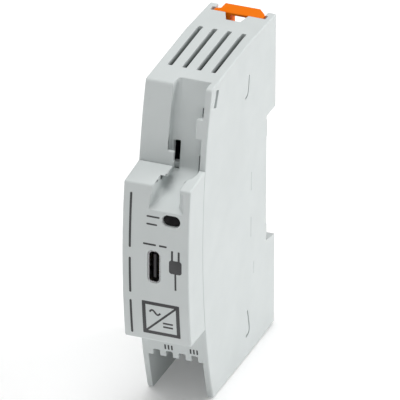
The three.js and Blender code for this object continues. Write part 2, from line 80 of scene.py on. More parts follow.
TOP_FRONT_Z = 89.1
CEILING_Z = TOP_FRONT_Z - 1.3  # underside of the roof
TOP_KINK_Y = 13.2
TOP_BACK_Z = 89.3
FOOT_KINK_Y = 18.0
FOOT_BACK_Z = 0.6
FOUR_PLACES = (-1.5, -0.5, 0.5, 1.5)  # of the vents and of the poles, in steps from the middle
VENTS = {"pitch": 3.9, "half": 0.6, "front": -5.9, "back": 15.9, "corner": 0.28}  # slots in the roof

RAIL_SEAT_Y = 24.1
RAIL_TOP_Z = 63.1
RAIL_BOTTOM_Z = 27.3
RAIL_LIP_Z = 26.1
PAD_Y = 24.6
PADS = ((29.0, 32.0), (57.5, 61.9))

NOSE_BOTTOM_Z = 22.6
SHELF_FRONT_Z = 67.3
SHELF_BACK_Z = 68.3
ROOF_SEAM_Z = 87.86  # the panel reaches just into the roof
PANEL_TOP_Z = COVER_HIGH.z
CHANNEL_LEFT = -1.4
CHANNEL_DEPTH = 3.6
TURN_Z = 66.9  # where the channel's floor starts to turn forward
RAMP_BACK = (-20.6, 63.6)
SCOOP_END_Z = 60.8
LUG_RIGHT = 0.3
LUG_TOP_Z = 71.9
LUG_FRONT_Y = -22.7

TEETH_LOW = COVER_LOW.z
TEETH_HIGH = 13.35
NOTCH = 1.85
PITCH = 3.45
POLES = [0.08 + n * PITCH for n in FOUR_PLACES]
LIVE, NEUTRAL = 1, 3  # the poles with a clamp; the other two are dummies
BAY_TOP_Z = 14.5
BAY_BACK_Y = 8.5

LATCH_FRONT_Y = 26.6
LATCH_BACK_Y = box_mm("base_latch")[1].y
LATCH_PLAY = 0.25
LATCH_HALF = 6.5  # half the width of its plate
RUNNER_HALF = 7.25  # half the width over its two runners
EYE = {"half": 2.1, "low": 82.5, "high": 88.6}  # the hole in the latch for a screwdriver
WINDOW = {"half": 2.2, "low": 66.4, "high": 80.0}  # the hole in the latch for its spring
KEY_SLOT = {"front": 22.2, "low": 83.0}  # room for the screwdriver before the eye
KEY_SLOT_OUTLINE = [
    (-1.55, KEY_SLOT["front"]), (2.3, KEY_SLOT["front"]), (2.95, LATCH_FRONT_Y), (-3.4, LATCH_FRONT_Y),
]

SOCKET_CORNER = 1.25
SOCKET_SHEET = 0.24
SOCKET_PLAY = 0.12
LENS_PLAY = 0.15
LENS_HOLE_CORNER = 1.54
LENS_SETBACK = 0.6  # how far its face lies behind the front of its CAD node
CLIP = {"left": 5.6, "low": 76.2, "high": 81.2, "thick": 1.1}  # on the right edge of the channel


# ---- mesh helpers --------------------------------------------------------------------------------
def add_object(name, mesh):
    piece = bpy.data.objects.new(name, mesh)
    bpy.context.scene.collection.objects.link(piece)
    return piece


def from_faces(name, points, faces):
    mesh = bpy.data.meshes.new(name)
    mesh.from_pydata([tuple(p) for p in points], [], faces)
    shape = bmesh.new()
    shape.from_mesh(mesh)
    bmesh.ops.recalc_face_normals(shape, faces=shape.faces)
    shape.to_mesh(mesh)
    shape.free()
    return add_object(name, mesh)


def prism(outline, axis, low, high):
    """A solid of an outline swept along an axis: x takes (y, z), y takes (x, z) and z takes (x, y)."""
    place = {
        "x": lambda a, b, h: (h, a, b),
        "y": lambda a, b, h: (a, h, b),
        "z": lambda a, b, h: (a, b, h),
    }[axis]
    count = len(outline)
    points = [place(a, b, h) for h in (low, high) for a, b in outline]
    faces = [list(range(count)), list(range(2 * count - 1, count - 1, -1))]
    for i in range(count):
        j = (i + 1) % count
        faces.append([i, j, count + j, count + i])
    return from_faces("prism", points, faces)


def block(x0, x1, y0, y1, z0, z1):
    return prism([(x0, y0), (x1, y0), (x1, y1), (x0, y1)], "z", z0, z1)


def rounded(x0, x1, z0, z1, radius, steps=6):
    """A rectangle with round corners; a radius of half its width makes an obround."""
    points = []
    corners = ((x1, z1, 0), (x0, z1, 1), (x0, z0, 2), (x1, z0, 3))
    for x, z, quarter in corners:
        cx = x - radius if x == x1 else x + radius
        cz = z - radius if z == z1 else z + radius
        for i in range(steps + 1):
            angle = (quarter + i / steps) * math.pi / 2
            points.append((cx + radius * math.cos(angle), cz + radius * math.sin(angle)))
    return without_repeats(points)


def without_repeats(points):
    return [p for i, p in enumerate(points) if math.dist(p, points[i - 1]) > 1e-4]


def obround(x, z, width, height, steps=10):
    radius = min(width, height) / 2 - 1e-4
    return rounded(x - width / 2, x + width / 2, z - height / 2, z + height / 2, radius, steps)


def stroke(path, width):
    """The outline of a line of some width along a path of points."""
    left, right = [], []
    for i, point in enumerate(path):
        before = Vector(path[max(i - 1, 0)])
        after = Vector(path[min(i + 1, len(path) - 1)])
        along = (after - before).normalized()
        across = Vector((-along.y, along.x)) * width / 2
        left.append(tuple(Vector(point) + across))
        right.append(tuple(Vector(point) - across))
    return left + right[::-1]


def bake(piece):
    """Applies the modifiers of a piece."""
    bpy.context.view_layer.update()
    graph = bpy.context.evaluated_depsgraph_get()
    mesh = bpy.data.meshes.new_from_object(piece.evaluated_get(graph))
    old = piece.data
    piece.modifiers.clear()
    piece.data = mesh
    bpy.data.meshes.remove(old)
    return piece


def discard(piece):
    mesh = piece.data
    bpy.data.objects.remove(piece)
    bpy.data.meshes.remove(mesh)


def combine(piece, tools, operation):
    for tool in tools:
        modifier = piece.modifiers.new("combine", "BOOLEAN")
        modifier.solver = "MANIFOLD"
        modifier.operation = operation
        modifier.object = tool
        bake(piece)
        discard(tool)
    return piece


def cut(piece, *tools):
    return combine(piece, tools, "DIFFERENCE")


def join(piece, *tools):
    return combine(piece, tools, "UNION")


def merge(pieces):
    """Puts the meshes of all the pieces into the first one, without a boolean."""
    first, *others = pieces
    for other in others:
        shape = bmesh.new()
        shape.from_mesh(first.data)
        shape.from_mesh(other.data)
        shape.to_mesh(first.data)
        shape.free()
        discard(other)
    return first


def soften(piece, width, segments=3, sharper_than=35):
    """Rounds the sharp edges. width is a size in mm, or a function of an edge's middle that gives one."""
    mesh = piece.data
    shape = bmesh.new()
    shape.from_mesh(mesh)
    bmesh.ops.remove_doubles(shape, verts=shape.verts, dist=0.004)
    bmesh.ops.dissolve_limit(
        shape, angle_limit=math.radians(0.02), verts=shape.verts, edges=shape.edges, delimit={"NORMAL"}
    )
    layers = shape.edges.layers.float
    layer = layers.get("bevel_weight_edge") or layers.new("bevel_weight_edge")
    for edge in shape.edges:
        edge[layer] = 0
        if len(edge.link_faces) == 2 and edge.calc_face_angle(0) > math.radians(sharper_than):
            a, b = (v.co for v in edge.verts)
            edge[layer] = width((a + b) / 2) if callable(width) else width
    shape.to_mesh(mesh)
    shape.free()
    modifier = piece.modifiers.new("soften", "BEVEL")
    modifier.limit_method = "WEIGHT"
    modifier.width = 1.0
    modifier.segments = segments
    modifier.use_clamp_overlap = False
    modifier.miter_outer = "MITER_ARC"
    return bake(piece)


def finish_piece(name, piece, material, body, slot, *nodes, smooth=32):
    """Names a piece, scales it to metres, shades it and puts it on its body.

    Edges up to smooth degrees are shaded as one surface.
    """
    piece.name = name
    piece.data.name = name
    piece.data.transform(Matrix.Scale(MM, 4))
    piece.data.materials.clear()
    piece.data.materials.append(material)
    for polygon in piece.data.polygons:
        polygon.use_smooth = True
        polygon.material_index = 0
    piece.data.set_sharp_from_angle(angle=math.radians(smooth))
    normals = piece.modifiers.new("normals", "WEIGHTED_NORMAL")
    normals.keep_sharp = True
    bake(piece)
    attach(piece, body)
    if nodes:
        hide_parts(*nodes)
    return piece


# ---- materials -----------------------------------------------------------------------------------
def new_material(name, color, roughness, metallic=0.0, **sockets):
    material = bpy.data.materials.new(name)
    material.use_nodes = True
    shader = material.node_tree.nodes["Principled BSDF"]
    shader.inputs["Base Color"].default_value = (*color, 1)
    shader.inputs["Roughness"].default_value = roughness
    shader.inputs["Metallic"].default_value = metallic
    for label, value in sockets.items():
        shader.inputs[label.replace("_", " ")].default_value = value
    return material


def object_noise(tree, scale, detail=3.0, stretch=(1, 1, 1)):
    """Noise in the object's own coordinates; scale is in cells per metre."""
    coordinates = tree.nodes.new("ShaderNodeTexCoord")
    mapping = tree.nodes.new("ShaderNodeMapping")
    mapping.inputs["Scale"].default_value = stretch
    noise = tree.nodes.new("ShaderNodeTexNoise")
    noise.inputs["Scale"].default_value = scale
    noise.inputs["Detail"].default_value = detail
    tree.links.new(coordinates.outputs["Object"], mapping.inputs["Vector"])
    tree.links.new(mapping.outputs["Vector"], noise.inputs["Vector"])
    return noise


def ramp(tree, source, low, high, start=0.35, end=0.65):
    """A ramp between two colours; a number stands for that grey."""
    node = tree.nodes.new("ShaderNodeValToRGB")
    colors = [c if isinstance(c, tuple) else (c, c, c) for c in (low, high)]
    node.color_ramp.elements[0].position = start
    node.color_ramp.elements[1].position = end
    node.color_ramp.elements[0].color = (*colors[0], 1)
    node.color_ramp.elements[1].color = (*colors[1], 1)
    tree.links.new(source, node.inputs["Fac"])
    return node.outputs["Color"]


def grain(material, size_mm, depth_mm, stretch=(1, 1, 1)):
    """A fine surface grain as bump."""
    tree = material.node_tree
    noise = object_noise(tree, 1 / (size_mm * MM), 2.0, stretch)
    bump = tree.nodes.new("ShaderNodeBump")
    bump.inputs["Strength"].default_value = 1.0
    bump.inputs["Distance"].default_value = depth_mm * MM
    tree.links.new(noise.outputs["Fac"], bump.inputs["Height"])
    tree.links.new(bump.outputs["Normal"], tree.nodes["Principled BSDF"].inputs["Normal"])
    return material


def mottle(material, low, high, size_mm, stretch=(1, 1, 1)):
    """Slow colour variation between two colours."""
    tree = material.node_tree
    noise = object_noise(tree, 1 / (size_mm * MM), 4.0, stretch)
    color = ramp(tree, noise.outputs["Fac"], low, high)
    tree.links.new(color, tree.nodes["Principled BSDF"].inputs["Base Color"])
    return material


def uneven_gloss(material, low, high, size_mm):
    tree = material.node_tree
    noise = object_noise(tree, 1 / (size_mm * MM), 3.0)
    value = ramp(tree, noise.outputs["Fac"], low, high)
    tree.links.new(value, tree.nodes["Principled BSDF"].inputs["Roughness"])
    return material


def moulded(name, color, roughness, spread=0.012, grain_mm=0.22, depth_mm=0.006, **sockets):
    """Moulded plastic: an eroded matt grain, faint flow marks and slightly uneven gloss."""
    material = new_material(name, color, roughness, **sockets)
    darker = tuple(max(c - spread, 0) for c in color)
    lighter = tuple(min(c + spread, 1) for c in color)
    mottle(material, darker, lighter, 14)
    uneven_gloss(material, roughness - 0.05, roughness + 0.06, 5)
    return grain(material, grain_mm, depth_mm)


def drawn_metal(name, color, roughness, stretch=(1, 1, 12)):
    material = new_material(name, color, roughness, 1.0)
    mottle(material, tuple(c * 0.86 for c in color), color, 1.4, stretch)
    uneven_gloss(material, roughness - 0.06, roughness + 0.08, 1.0)
    return grain(material, 0.12, 0.002, stretch)


HOUSING = moulded("housing_grey", (0.6, 0.635, 0.632), 0.52)
LATCH = moulded("latch_orange", (0.86, 0.185, 0.0), 0.5, 0.015, Specular_IOR_Level=0.04)
SMOKED = new_material("smoked_lens", (0.006, 0.006, 0.007), 0.16, Specular_IOR_Level=0.08)
mottle(SMOKED, (0.004, 0.004, 0.005), (0.012, 0.011, 0.012), 1.5)
grain(SMOKED, 0.5, 0.002)
PRINT = moulded("print_ink", (0.045, 0.046, 0.048), 0.5, 0.01, 0.12, 0.002)
BLACK = moulded("black_plastic", (0.014, 0.014, 0.015), 0.42, 0.004)
SHELL_STEEL = drawn_metal("shell_steel", (0.62, 0.62, 0.63), 0.3)
SPRING_STEEL = drawn_metal("spring_steel", (0.55, 0.56, 0.58), 0.28)
COPPER = drawn_metal("copper", (0.78, 0.43, 0.24), 0.3)
GOLD = drawn_metal("contact_gold", (0.85, 0.62, 0.22), 0.25)
SINK_METAL = drawn_metal("heat_sink_metal", (0.72, 0.73, 0.75), 0.38)
FERRITE = moulded("ferrite", (0.05, 0.05, 0.055), 0.62, 0.015, 0.3, 0.02)
BOARD = moulded("circuit_board", (0.015, 0.11, 0.045), 0.35, 0.012, 0.6, 0.004)
FOIL = moulded("insulation", (0.62, 0.58, 0.42), 0.3, 0.02, 2.0, 0.02)
TAPE = moulded("winding_tape", (0.72, 0.45, 0.03), 0.35, 0.04, 1.0, 0.03)
SLEEVE = moulded("capacitor_sleeve", (0.03, 0.04, 0.06), 0.25, 0.01, 1.5, 0.01)
FILM = moulded("film_case", (0.62, 0.5, 0.12), 0.4, 0.03)
CERAMIC = moulded("blue_ceramic", (0.03, 0.12, 0.42), 0.3, 0.02, 0.8, 0.03)
LED_BODY = moulded("led_body", (0.62, 0.72, 0.62), 0.15, 0.02, 1.0, 0.002)

CAD_MATERIALS = {
    BOARD: ["output_board", "main_board"],
    FOIL: ["insulation_foil"],
    FERRITE: ["output_inductor", "transformer_core", "choke_core"],
    TAPE: ["transformer_winding"],
    SLEEVE: ["bulk_capacitor_1", "bulk_capacitor_2", "output_capacitor_1", "output_capacitor_2"],
    FILM: ["x_capacitor"],
    CERAMIC: ["y_capacitor", "varistor"],
    COPPER: ["choke_winding_1", "choke_winding_2", "current_bar_l", "current_bar_n"],
    SINK_METAL: ["heat_sink"],
    LED_BODY: ["status_led"],
    BLACK: [
        "output_controller", "board_link_header", "transformer_bobbin", "fuse", "bridge_rectifier",
        "pwm_controller", "optocoupler", "switching_transistor",
    ],
}


def paint_cad_nodes():
    for material, names in CAD_MATERIALS.items():
        for name in names:
            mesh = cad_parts[name].data
            mesh.materials.clear()
            mesh.materials.append(material)


# ---- the curved front ----------------------------------------------------------------------------
def front_y(z, step=0.0):
    """The curve of the front edge of the side walls, or a curve that lies step in front of it."""
    return FRONT + NOSE_STEP - step + ARC_R - math.sqrt(ARC_R**2 - (z - ARC_Z) ** 2)


def front_arc(z0, z1, step=0.0, steps=28):
    heights = (z0 + (z1 - z0) * i / steps for i in range(steps + 1))
    return [(front_y(z, step), z) for z in heights]


def ramp_floor():
    """Points (y, z) along the floor of the channel and the scoop, from the roof to past the nose."""
    points = [(front_y(z) + CHANNEL_DEPTH, z) for z in (95 - 2 * i for i in range(13))]
    start = Vector((front_y(TURN_Z) + CHANNEL_DEPTH, TURN_Z))
    end = Vector(RAMP_BACK)
    tip = Vector((front_y(SCOOP_END_Z, NOSE_STEP), SCOOP_END_Z))
    forward = (tip - end).normalized()
    handles = (start + Vector((0, -1.3)), end + Vector((3.2, 1.0)))
    for i in range(13):
        t = i / 12
        points.append(tuple(
            start * (1 - t) ** 3
            + handles[0] * 3 * t * (1 - t) ** 2
            + handles[1] * 3 * t * t * (1 - t)
            + end * t**3
        ))
    reach = (tip - end).length + 6
    points += [tuple(end + forward * reach * i / 22) for i in range(1, 23)]
    return points


def blend(low, high, value):
    """0 below low, 1 above high and smooth between."""
    t = min(max((value - low) / (high - low), 0), 1)
    return t * t * (3 - 2 * t)


def left_limit(y, z):
    """The left wall of the channel and of the scoop, which spreads towards the scoop's end."""
    in_scoop = 1 - blend(-22.8, -21.6, y)
    spread = (1 - blend(-29.5, -23.5, y)) * (1 - blend(62, 67, z))
    return CHANNEL_LEFT + 0.2 * in_scoop - 0.7 * spread


def right_limit(y, z, channel_right):
    """The right wall: open beside the channel, then the scoop's right lip, which flares towards its end."""
    if y > -20.3:
        return channel_right
    slant = 0.55 * (1 - blend(-23.6, -20.3, y))
    step = 0.95 * (1 - blend(-24.0, -23.6, y))
    under_lip = 1 - blend(65.7, 67.0, z)
    flare = 1.9 * (1 - blend(-30.2, -27.4, y)) - 0.45
    return channel_right - slant - step + flare * under_lip


def channel_tool(channel_right):
    """The room of the cable channel and scoop: a U section with round corners, moved along the floor."""
    lift = Vector((-1, 1)).normalized()
    floor = ramp_floor()
    rows = []
    for y, z in floor:
        turn = 1 - blend(63.6, 66.6, z)
        end = 1 - blend(61.2, 63.3, z)
        radius = 1.3 + 0.9 * turn - 1.7 * end
        small = 0.3 + 0.9 * turn - 0.8 * end
        section = [("left", 0, 24)]
        section += [("left", 0, radius + 8 - i) for i in range(8)]
        for i in range(9):
            angle = i / 8 * math.pi / 2
            section.append(("left", radius * (1 - math.cos(angle)), radius * (1 - math.sin(angle))))
        section.append(("middle", 0.5, 0))
        for i in range(7):
            angle = (1 - i / 6) * math.pi / 2
            section.append(("right", small * (1 - math.cos(angle)), small * (1 - math.sin(angle))))
        section += [("right", 0, small + 0.5 + 0.8 * i) for i in range(12)]
        section.append(("right", 0, 24))
        row = []
        for side, offset, rise in section:
            py, pz = y + lift.x * rise, z + lift.y * rise
            left = left_limit(py, pz)
            right = right_limit(py, pz, channel_right)
            x = {"left": left + offset, "middle": (left + right) / 2, "right": right - offset}[side]
            row.append((x, py, pz))
        rows.append(row)
    width = len(rows[0])
    points = [p for row in rows for p in row]
    faces = []
    for i in range(len(rows) - 1):
        for j in range(width):
            k = (j + 1) % width
            faces.append([i * width + j, i * width + k, (i + 1) * width + k, (i + 1) * width + j])
    faces.append(list(range(width)))
    faces.append([(len(rows) - 1) * width + j for j in reversed(range(width))])
    tool = from_faces("channel", points, faces)
    shape = bmesh.new()
    shape.from_mesh(tool.data)
    bmesh.ops.triangulate(shape, faces=shape.faces)
    bmesh.ops.recalc_face_normals(shape, faces=shape.faces)
    shape.to_mesh(tool.data)
    shape.free()
    return tool


# ---- housing base --------------------------------------------------------------------------------
def roof_corner(reach):
    """The rounded corner between the roof and the front, as points (y, z)."""
    corner = Vector((front_y(TOP_FRONT_Z), TOP_FRONT_Z))
    on_roof = corner + (Vector((TOP_KINK_Y, HEIGHT)) - corner).normalized() * reach
    on_front = Vector((front_y(TOP_FRONT_Z - reach), TOP_FRONT_Z - reach))
    for i in range(7):
        t = i / 6
        yield tuple(on_roof * (1 - t) ** 2 + corner * 2 * t * (1 - t) + on_front * t * t)


def side_outline():
    pads = []
    for low, high in PADS:
        pads += [(RAIL_SEAT_Y, low - 0.3), (PAD_Y, low), (PAD_Y, high), (RAIL_SEAT_Y, high + 0.3)]
    return [
        (BACK, FOOT_BACK_Z),
        (BACK, RAIL_LIP_Z),
        (RAIL_SEAT_Y, RAIL_BOTTOM_Z),
        *pads,
        (RAIL_SEAT_Y, RAIL_TOP_Z),
        (BACK, RAIL_TOP_Z),
        (BACK, TOP_BACK_Z),
        (TOP_KINK_Y, HEIGHT),
        *roof_corner(0.75),
        *front_arc(TOP_FRONT_Z - 1.2, SHELF_BACK_Z + 0.4, steps=10),
        *front_arc(SHELF_BACK_Z, NOSE_BOTTOM_Z, steps=24),
        *front_arc(NOSE_BOTTOM_Z - 0.4, 0, steps=12),
        (FOOT_KINK_Y, 0),
    ]


def inside_outline():
    front = -40
    chamber = LATCH_FRONT_Y - LATCH_PLAY - WALL
    return [
        (front, -5),
        (BAY_BACK_Y, -5),
        (BAY_BACK_Y, BAY_TOP_Z),
        (0.4, BAY_TOP_Z),
        (0.4, BAY_TOP_Z + WALL),
        (BAY_BACK_Y + WALL, BAY_TOP_Z + WALL),
        (BAY_BACK_Y + WALL, 2),
        (BACK - WALL, 2.4),
        (BACK - WALL, RAIL_LIP_Z - WALL),
        (RAIL_SEAT_Y - WALL, RAIL_BOTTOM_Z - WALL),
        (RAIL_SEAT_Y - WALL, RAIL_TOP_Z + WALL),
        (chamber, RAIL_TOP_Z + 6),
        (chamber, KEY_SLOT["low"] - WALL),
        (KEY_SLOT["front"] - WALL, KEY_SLOT["low"] - WALL),
        (KEY_SLOT["front"] - WALL, CEILING_Z),
        (front, CEILING_Z),
    ]


def base_edge(middle):
    """How round each edge of the base's outer shape is."""
    beside_nose = NOSE_BOTTOM_Z - 0.2 < middle.z < SHELF_BACK_Z + 0.2
    at_front = middle.y < front_y(middle.z) + 0.5
    if middle.y > RAIL_SEAT_Y - 1 and RAIL_LIP_Z - 1 < middle.z < RAIL_TOP_Z + 0.5:
        return 0.15
    if at_front and beside_nose:
        return 0.12
    return 0.4


def vent_slots():
    half, front, back, corner = (VENTS[key] for key in ("half", "front", "back", "corner"))
    for n in FOUR_PLACES:
        x = n * VENTS["pitch"]
        yield prism(rounded(x - half, x + half, front, back, corner, 4), "z", HEIGHT - 6, HEIGHT + 2)


def latch_chamber():
    """The latch's pocket, the grooves of its runners, the room of its catch and the screwdriver's slot."""
    front = LATCH_FRONT_Y - LATCH_PLAY
    half = LATCH_HALF + LATCH_PLAY
    groove = RUNNER_HALF + LATCH_PLAY
    yield block(-half, half, front, BACK + 1, RAIL_TOP_Z - 1, HEIGHT + 1)
    yield block(-groove, groove, front + APART, 28.3, 65.7, HEIGHT + 1.1)
    yield block(-half + APART, half - APART, 25.4, front + 0.5, RAIL_TOP_Z - 1.1, 67.2)
    yield prism(KEY_SLOT_OUTLINE, "z", KEY_SLOT["low"], HEIGHT + 1.2)


def side_marks():
    """Fine moulded marks on the right side: two hooks, a slanted recess and three sink lines."""
    outside = SIDE + 1
    upper = [(11.6, 80.9), (11.0, 77.2), (10.75, 76.4), (10.3, 75.8), (9.6, 75.45), (8.7, 75.4)]
    lower = [(11.2, 13.4), (12.45, 8.6), (12.6, 7.6), (12.4, 6.9), (11.9, 6.4), (11.2, 6.2), (10.1, 6.2)]
    hook_width, hook_depth = 0.6, 1.2
    for path in (upper, lower):
        yield prism(stroke(path, hook_width), "x", SIDE - hook_depth, outside)
    centre = Vector((-11.45, 85.1))
    reach = Vector((-0.95, -2.1))
    recess_width, recess_depth = 1.75, 1.5
    recess = stroke([tuple(centre - reach), tuple(centre), tuple(centre + reach)], recess_width)
    yield prism(recess, "x", SIDE - recess_depth, outside)
    line_half, line_depth = 0.1, 0.08
    for y, low, high in ((13.3, 47.0, 52.3), (13.3, 33.6, 39.4), (15.5, 22.0, 25.5)):
        yield block(SIDE - line_depth, outside, y - line_half, y + line_half, low, high)


def rail_hook():
    """The fixed hook that holds the rail's lower edge."""
    front, tip_front, tip_back, back = 25.9, 26.3, 27.1, 28.4
    outline = [
        (front, RAIL_BOTTOM_Z - 1.5), (front, 28.2), (tip_front, 28.8),
        (tip_back, 28.8), (back, 27.2), (back, RAIL_LIP_Z - 0.5),
    ]
    return prism(outline, "x", -6, 6)


def cable_clip():
    face = front_arc(CLIP["low"], CLIP["high"], 0, 4)
    back = [(y + CLIP["thick"], z) for y, z in reversed(face)]
    clip = prism(face + back, "x", CLIP["left"], INNER + 0.3)
    return soften(clip, lambda m: 0.25 if m.x < CLIP["left"] + 0.4 or m.z > CLIP["high"] - 0.1 else 0.1)


def housing_base():
    shell = prism(side_outline(), "x", -SIDE, SIDE)
    soften(shell, base_edge, 4, 20)
    cut(shell, prism(inside_outline(), "x", -INNER, INNER), channel_tool(INNER))
    cut(shell, *vent_slots(), *latch_chamber(), *side_marks())
    spring_seat = block(-1.8, 1.8, LATCH_FRONT_Y - LATCH_PLAY - 0.4, 29.8, 76.9, 79.3)
    join(shell, rail_hook(), spring_seat, cable_clip())

    def small_edge(middle):
        on_wall = abs(abs(middle.x) - INNER) < 0.1
        if on_wall and middle.z > TEETH_LOW - 1 and middle.y < front_y(middle.z) + 3:
            return 0
        if abs(middle.z - CEILING_Z) < 0.1 and middle.y < front_y(middle.z) + 5:
            return 0
        if abs(middle.x) > SIDE - 0.5:
            return 0.08
        if middle.z > TOP_FRONT_Z - 6 and middle.y < 17:
            return 0.2
        return 0.14

    soften(shell, small_edge, 2, 40)
    return finish_piece("shell_base", shell, HOUSING, "housing", "housing", "housing_base")


# ---- front cover ---------------------------------------------------------------------------------
def nose_edge(middle):
    if middle.y > front_y(middle.z) - 0.6:
        return 0.1
    if abs(middle.x) > SIDE - 0.1:
        return 0.5
    return 0.55


def nose_block():
    outline = [
        *front_arc(NOSE_BOTTOM_Z, SHELF_FRONT_Z, NOSE_STEP, 30),
        (front_y(SHELF_BACK_Z, SEAM), SHELF_BACK_Z),
        *front_arc(SHELF_BACK_Z - 0.4, NOSE_BOTTOM_Z, SEAM, 24),
    ]
    nose = prism(outline, "x", -SIDE, SIDE)
    return soften(nose, nose_edge, 4, 20)


def cover_core():
    half = INNER - GAP
    neck_half = half - 0.002  # out of the plane of the core's sides
    outline = [
        *front_arc(TEETH_LOW, ROOF_SEAM_Z),
        (front_y(PANEL_TOP_Z) + 7, ROOF_SEAM_Z),
        (-9.5, 62),
        (-17, 58),
        (front_y(24) + WALL, 24),
        (front_y(TEETH_LOW) + WALL, TEETH_LOW),
    ]
    neck = [
        *front_arc(NOSE_BOTTOM_Z + 0.3, SHELF_BACK_Z - 0.5, 1),
        *front_arc(SHELF_BACK_Z - 0.5, NOSE_BOTTOM_Z + 0.3, -WALL),
    ]
    return prism(outline, "x", -half, half), prism(neck, "x", -neck_half, neck_half)


def cover_hollows():
    behind = CHANNEL_LEFT - 1.2
    nose = [
        *front_arc(NOSE_BOTTOM_Z + WALL, 60, NOSE_STEP - WALL, 12),
        (-20.3, 62.2),
        (-15.8, 63.4),
        (-13.6, 67),
        (-5, 67),
        (-5, NOSE_BOTTOM_Z + WALL),
    ]
    shoulder = [*front_arc(60, PANEL_TOP_Z - WALL, -WALL, 8), (5, PANEL_TOP_Z - WALL), (5, 60)]
    behind_channel = [
        *front_arc(60, PANEL_TOP_Z + 1, -CHANNEL_DEPTH - 1.4, 8), (5, PANEL_TOP_Z + 1), (5, 59),
    ]
    nose_left = [
        *front_arc(59, SHELF_FRONT_Z - WALL, NOSE_STEP - WALL, 6), (-5, SHELF_FRONT_Z - WALL), (-5, 59),
    ]
    yield prism(nose, "x", -INNER, INNER)
    yield prism(shoulder, "x", -INNER - 1, behind)
    yield prism(behind_channel, "x", behind - 0.1, INNER + 1)
    yield prism(nose_left, "x", -INNER + APART, behind - 0.2)


def lug():
    """Where the channel's tool stops short: the lug in the shoulder and the plate that runs on from it."""
    thick = 0.9
    plate_thick = 1.1
    upright = [
        (-40, SHELF_BACK_Z - 0.5),
        *((y + thick, z) for y, z in front_arc(SHELF_BACK_Z - 0.5, LUG_TOP_Z, 0, 6)),
        (-40, LUG_TOP_Z),
    ]
    slope = (SHELF_BACK_Z - SHELF_FRONT_Z) / (front_y(SHELF_BACK_Z) - front_y(SHELF_FRONT_Z, NOSE_STEP))
    drop = slope * (front_y(SHELF_BACK_Z) - LUG_FRONT_Y)
    back_y = front_y(SHELF_BACK_Z) + thick
    underside = [(back_y, SHELF_BACK_Z - plate_thick), (LUG_FRONT_Y, SHELF_BACK_Z - drop - plate_thick)]
    plate = [(LUG_FRONT_Y, SHELF_BACK_Z + 1), (back_y, SHELF_BACK_Z + 1), *underside]
    return (
        prism(upright, "x", CHANNEL_LEFT - 0.8, LUG_RIGHT),
        prism(plate, "x", CHANNEL_LEFT - 0.8, LUG_RIGHT + 0.05),
    )


def floor_slots():
    """The cable slot in the channel's floor and two narrow mould slits along its right edge."""
    yield prism(rounded(-1.1, 0.62, 65.4, 73.3, 0.2, 3), "y", -17.6, -5)
    yield block(5.88, 6.2, -18, -8, 80.0, 82.6)
    yield block(5.82, 6.15, -18, -8, 65.2, 70.2)


def slot_bridge():
    """A cross piece set back in the lower end of the cable slot."""
    return block(-1.4, 0.95, -14.3, -12.6, 65.3, 66.9)


def notches():
    for x in POLES:
        yield prism(rounded(x - NOTCH / 2, x + NOTCH / 2, 5, TEETH_HIGH, 0.4), "y", -40, -10)


def front_cover():
    led_low, led_high = box_mm("led_lens")
    usb_low, usb_high = box_mm("usb_shell")
    cover = join(nose_block(), *cover_core())
    cut(cover, *cover_hollows(), cut(channel_tool(INNER), *lug()))
    cut(cover, *floor_slots(), *notches())
    join(cover, slot_bridge())
    holes = (
        (led_low, led_high, LENS_PLAY, LENS_HOLE_CORNER),
        (usb_low, usb_high, SOCKET_PLAY, SOCKET_CORNER + SOCKET_PLAY),
    )
    for low, high, play, corner in holes:
        hole = rounded(low.x - play, high.x + play, low.z - play, high.z + play, corner, 10)
        cut(cover, prism(hole, "y", -40, -25))

    def small_edge(middle):
        behind_arc = middle.y > front_y(middle.z) - 0.3
        if (abs(middle.x) > INNER - 0.1 or middle.z > PANEL_TOP_Z - 0.1) and behind_arc:
            return 0
        if middle.z > SCOOP_END_Z - 3 and middle.y < front_y(middle.z) + 0.3:
            return 0.3
        return 0.16

    soften(cover, small_edge, 3, 40)
    return finish_piece("shell_cover", cover, HOUSING, "housing", "housing", "front_cover")


# ---- rail latch ----------------------------------------------------------------------------------
def base_latch():
    back = LATCH_BACK_Y
    plate = block(-LATCH_HALF, LATCH_HALF, LATCH_FRONT_Y, back, 63.5, 88.4)
    runners = block(-RUNNER_HALF, RUNNER_HALF, LATCH_FRONT_Y, 28, 65.9, 87)
    catch = [(25.8, 64.1), (25.8, 62.2), (26.3, 61.4), (27.4, 61.4), (back, 63.9), (back, 64.1)]
    right_end = [(6.7, LATCH_FRONT_Y), (6.7, 27.7), (6.5, 28.5), (4.75, back)]
    left_end = [(-4.75, back), (-5.2, 28.0), (-6.5, 27.6), (-6.7, 27.2), (-6.7, LATCH_FRONT_Y)]
    bar = prism(right_end + left_end, "z", 87.3, HEIGHT + 1)
    above = [(20, 88.1), (LATCH_FRONT_Y, 89.3), (back, 90), (35, 90.7), (35, 95), (20, 95)]
    cut(bar, prism(above, "x", -9, 9))
    latch = join(plate, runners, prism(catch, "x", -6, 6), bar)
    eye = rounded(-EYE["half"], EYE["half"], EYE["low"], EYE["high"], 0.35)
    window = rounded(-WINDOW["half"], WINDOW["half"], WINDOW["low"], WINDOW["high"], 0.3)
    cut(latch, prism(eye, "y", 20, 35), prism(window, "y", 20, 35))
    soften(latch, 0.22, 3, 35)
    return finish_piece("latch_body", latch, LATCH, "latch", "latch", "base_latch")


